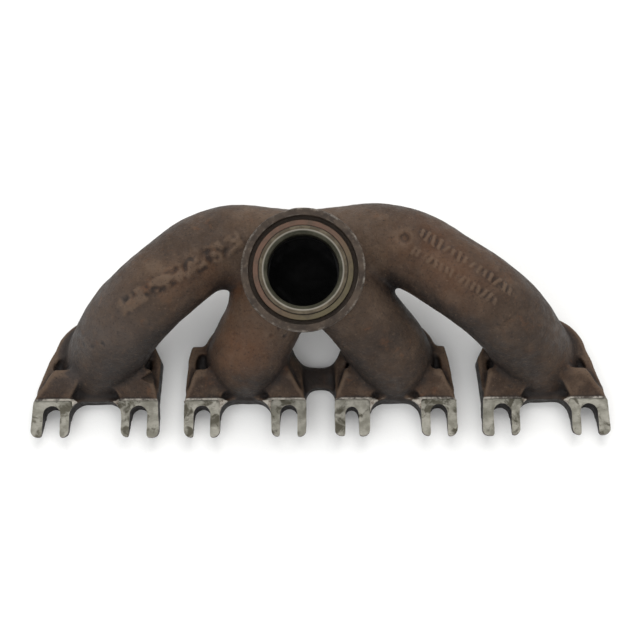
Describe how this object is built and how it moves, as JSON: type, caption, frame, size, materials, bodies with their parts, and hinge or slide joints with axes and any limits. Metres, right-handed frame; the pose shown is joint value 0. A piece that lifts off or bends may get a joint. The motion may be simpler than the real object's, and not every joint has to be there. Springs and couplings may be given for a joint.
{
  "type": "exhaust manifold",
  "caption": "Cast exhaust manifold: port flanges with fork-shaped stud lugs, arched runners and a collector under a round V-band outlet flange.",
  "frame": {"origin": "on the plane of the cylinder head face, on the line through the port centres, half way between ports 2 and 3", "axes": "+X along the engine from port 1 to port 4, +Z away from the cylinder head towards the outlet, -Y the way the stud slots open"},
  "size_m": [0.3466, 0.1304, 0.0971],
  "materials": {
    "cast_skin": "rough sand-cast skin with brown heat scale",
    "machined_face": "milled, stained and lightly corroded",
    "turned_flange": "turned, oxidised brown with worn bright edges",
    "seat_ring": "turned, heat tinted"
  },
  "bodies": {
    "root": {"port_flange_1": "cast_skin", "stud_lug_1_left": "machined_face", "stud_lug_1_right": "machined_face", "port_flange_2": "cast_skin", "stud_lug_2_left": "machined_face", "stud_lug_2_right": "machined_face", "port_flange_3": "cast_skin", "stud_lug_3_left": "machined_face", "stud_lug_3_right": "machined_face", "port_flange_4": "cast_skin", "stud_lug_4_left": "machined_face", "stud_lug_4_right": "machined_face", "flange_bridge": "cast_skin", "runner_1": "cast_skin", "runner_2": "cast_skin", "runner_3": "cast_skin", "runner_4": "cast_skin", "collector_left": "cast_skin", "collector_right": "cast_skin", "outlet_flange": "turned_flange", "outlet_seat_ring": "seat_ring"}
  },
  "joints": []
}
